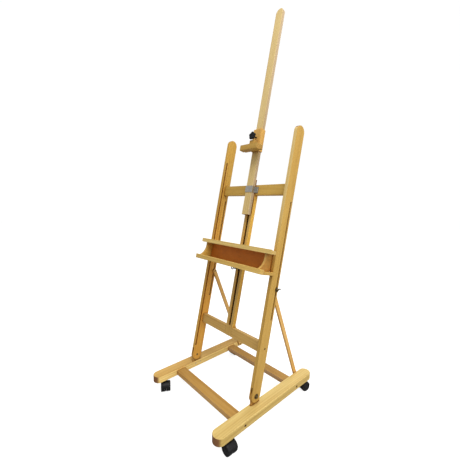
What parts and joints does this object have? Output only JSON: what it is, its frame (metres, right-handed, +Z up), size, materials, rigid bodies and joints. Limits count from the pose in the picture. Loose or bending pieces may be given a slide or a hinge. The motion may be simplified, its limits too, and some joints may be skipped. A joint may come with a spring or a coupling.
{
  "type": "wooden artist easel",
  "caption": "Rolling wooden H-frame studio easel with a sliding mast and canvas clamp, a ratchet paint tray and braces that set the lean.",
  "frame": {"origin": "on the floor under the middle of the base, casters resting on the floor", "axes": "+X to the right of a painter facing the easel, +Y to the back of the easel, +Z up"},
  "size_m": [0.6123, 0.7, 2.1194],
  "materials": {
    "beech": "clear matt varnish on beech",
    "beech_shaded": "clear matt varnish on beech",
    "hardboard": "smooth brown hardboard",
    "black_plastic": "moulded black nylon",
    "zinc_plated_steel": "zinc plated",
    "dark_steel": "dark oxide"
  },
  "bodies": {
    "base": {"base_rail_left": "beech", "base_rail_right": "beech", "crossbar_front": "beech", "crossbar_rear": "beech", "crossbar_bolt_front_left": "dark_steel", "crossbar_bolt_front_right": "dark_steel", "crossbar_bolt_rear_left": "dark_steel", "crossbar_bolt_rear_right": "dark_steel", "foot_tongue_left": "beech_shaded", "foot_tongue_right": "beech_shaded", "foot_bolt_left": "dark_steel", "foot_bolt_right": "dark_steel", "brace_foot_bolt_left": "zinc_plated_steel", "brace_foot_bolt_right": "zinc_plated_steel", "caster_front_left_plate": "zinc_plated_steel", "caster_front_right_plate": "zinc_plated_steel", "caster_rear_left_plate": "zinc_plated_steel", "caster_rear_right_plate": "zinc_plated_steel"},
    "caster_front_left_fork": {"caster_front_left_housing": "black_plastic"},
    "caster_front_left_wheels": {"caster_front_left_wheels": "black_plastic"},
    "caster_front_right_fork": {"caster_front_right_housing": "black_plastic"},
    "caster_front_right_wheels": {"caster_front_right_wheels": "black_plastic"},
    "caster_rear_left_fork": {"caster_rear_left_housing": "black_plastic"},
    "caster_rear_left_wheels": {"caster_rear_left_wheels": "black_plastic"},
    "caster_rear_right_fork": {"caster_rear_right_housing": "black_plastic"},
    "caster_rear_right_wheels": {"caster_rear_right_wheels": "black_plastic"},
    "easel_frame": {"upright_left": "beech", "upright_right": "beech", "lower_stretcher": "beech", "stretcher_screw_left": "dark_steel", "stretcher_screw_right": "dark_steel", "upper_crossbar": "beech", "center_post": "beech", "ratchet_strip": "dark_steel", "mast_keeper": "zinc_plated_steel"},
    "mast": {"canvas_mast": "beech"},
    "mast_lock": {"mast_lock_knob": "black_plastic"},
    "clamp": {"clamp_body": "beech", "clamp_grip_bar": "beech"},
    "clamp_screw": {"clamp_knob": "black_plastic"},
    "tray": {"tray_board": "beech", "tray_lip": "beech", "tray_back_panel": "hardboard", "tray_cheek_left": "beech", "tray_cheek_right": "beech", "tray_guide_left": "beech_shaded", "tray_guide_right": "beech_shaded", "canvas_ledge": "beech", "tray_cross_batten": "beech_shaded", "tray_post_keeper": "beech_shaded", "release_bracket": "dark_steel"},
    "tray_release": {"release_lever": "dark_steel"},
    "brace_left": {"brace_left": "beech", "brace_head_bolt_left": "zinc_plated_steel"},
    "slot_stud_left": {"slot_stud_left": "dark_steel"},
    "wing_nut_left": {"wing_nut_left": "dark_steel"},
    "brace_right": {"brace_right": "beech", "brace_head_bolt_right": "zinc_plated_steel"},
    "slot_stud_right": {"slot_stud_right": "dark_steel"},
    "wing_nut_right": {"wing_nut_right": "dark_steel"}
  },
  "joints": [
    {"name": "caster_front_left_swivel", "type": "hinge", "parent": "base", "child": "caster_front_left_fork", "pos_m": [-0.261, -0.28, 0.05], "axis": [0, 0, 1], "continuous": true},
    {"name": "caster_front_left_roll", "type": "hinge", "parent": "caster_front_left_fork", "child": "caster_front_left_wheels", "pos_m": [-0.23782, -0.29285, 0.026], "axis": [0.4848, 0.8746, 0], "continuous": true},
    {"name": "caster_front_right_swivel", "type": "hinge", "parent": "base", "child": "caster_front_right_fork", "pos_m": [0.261, -0.28, 0.05], "axis": [0, 0, 1], "continuous": true},
    {"name": "caster_front_right_roll", "type": "hinge", "parent": "caster_front_right_fork", "child": "caster_front_right_wheels", "pos_m": [0.28745, -0.28162, 0.026], "axis": [0.061, 0.9981, 0], "continuous": true},
    {"name": "caster_rear_left_swivel", "type": "hinge", "parent": "base", "child": "caster_rear_left_fork", "pos_m": [-0.261, 0.28, 0.05], "axis": [0, 0, 1], "continuous": true},
    {"name": "caster_rear_left_roll", "type": "hinge", "parent": "caster_rear_left_fork", "child": "caster_rear_left_wheels", "pos_m": [-0.261, 0.2535, 0.026], "axis": [1, 0, 0], "continuous": true},
    {"name": "caster_rear_right_swivel", "type": "hinge", "parent": "base", "child": "caster_rear_right_fork", "pos_m": [0.261, 0.28, 0.05], "axis": [0, 0, 1], "continuous": true},
    {"name": "caster_rear_right_roll", "type": "hinge", "parent": "caster_rear_right_fork", "child": "caster_rear_right_wheels", "pos_m": [0.26786, 0.3056, 0.026], "axis": [-0.9659, 0.2588, 0], "continuous": true},
    {"name": "frame_tilt", "type": "hinge", "parent": "base", "child": "easel_frame", "pos_m": [0, -0.08, 0.138], "axis": [-1, 0, 0], "range_deg": [-14, 20]},
    {"name": "brace_left_fold", "type": "hinge", "parent": "base", "child": "brace_left", "pos_m": [-0.2261, 0.28, 0.081], "axis": [-1, 0, 0], "range_deg": [-16, 23]},
    {"name": "slot_stud_left_slide", "type": "slide", "parent": "easel_frame", "child": "slot_stud_left", "axis": [0, 0.2113, 0.9774], "range_m": [-0.11, 0.15]},
    {"name": "wing_nut_left_turn", "type": "hinge", "parent": "slot_stud_left", "child": "wing_nut_left", "pos_m": [-0.2536, 0.04657, 0.6406], "axis": [-1, 0, 0], "continuous": true},
    {"name": "brace_right_fold", "type": "hinge", "parent": "base", "child": "brace_right", "pos_m": [0.2261, 0.28, 0.081], "axis": [-1, 0, 0], "range_deg": [-16, 23]},
    {"name": "slot_stud_right_slide", "type": "slide", "parent": "easel_frame", "child": "slot_stud_right", "axis": [0, 0.2113, 0.9774], "range_m": [-0.11, 0.15]},
    {"name": "wing_nut_right_turn", "type": "hinge", "parent": "slot_stud_right", "child": "wing_nut_right", "pos_m": [0.2536, 0.04657, 0.6406], "axis": [1, 0, 0], "continuous": true},
    {"name": "tray_height", "type": "slide", "parent": "easel_frame", "child": "tray", "axis": [0, 0.2113, 0.9774], "range_m": [-0.28, 0.15]},
    {"name": "tray_release_turn", "type": "hinge", "parent": "tray", "child": "tray_release", "pos_m": [0, 0.02122, 0.70082], "axis": [1, 0, 0], "range_deg": [0, 20], "stiffness_Nm_per_rad": 0.05, "springref_deg": -11.46},
    {"name": "mast_height", "type": "slide", "parent": "easel_frame", "child": "mast", "axis": [0, 0.2113, 0.9774], "range_m": [-0.12, 0.06]},
    {"name": "mast_lock_turn", "type": "hinge", "parent": "easel_frame", "child": "mast_lock", "pos_m": [0, 0.16287, 1.11934], "axis": [0, 0.9774, -0.2113], "continuous": true},
    {"name": "clamp_height", "type": "slide", "parent": "mast", "child": "clamp", "axis": [0, 0.2113, 0.9774], "range_m": [-0.02, 0.62]},
    {"name": "clamp_screw_turn", "type": "hinge", "parent": "clamp", "child": "clamp_screw", "pos_m": [0, 0.12387, 1.41219], "axis": [0, -0.9774, 0.2113], "continuous": true}
  ],
  "couplings": [
    {"joint": "brace_left_fold", "follows": "frame_tilt", "ratio": 1.07},
    {"joint": "slot_stud_left_slide", "follows": "frame_tilt", "m_per_rad": 0.385},
    {"joint": "brace_right_fold", "follows": "frame_tilt", "ratio": 1.07},
    {"joint": "slot_stud_right_slide", "follows": "frame_tilt", "m_per_rad": 0.385}
  ]
}
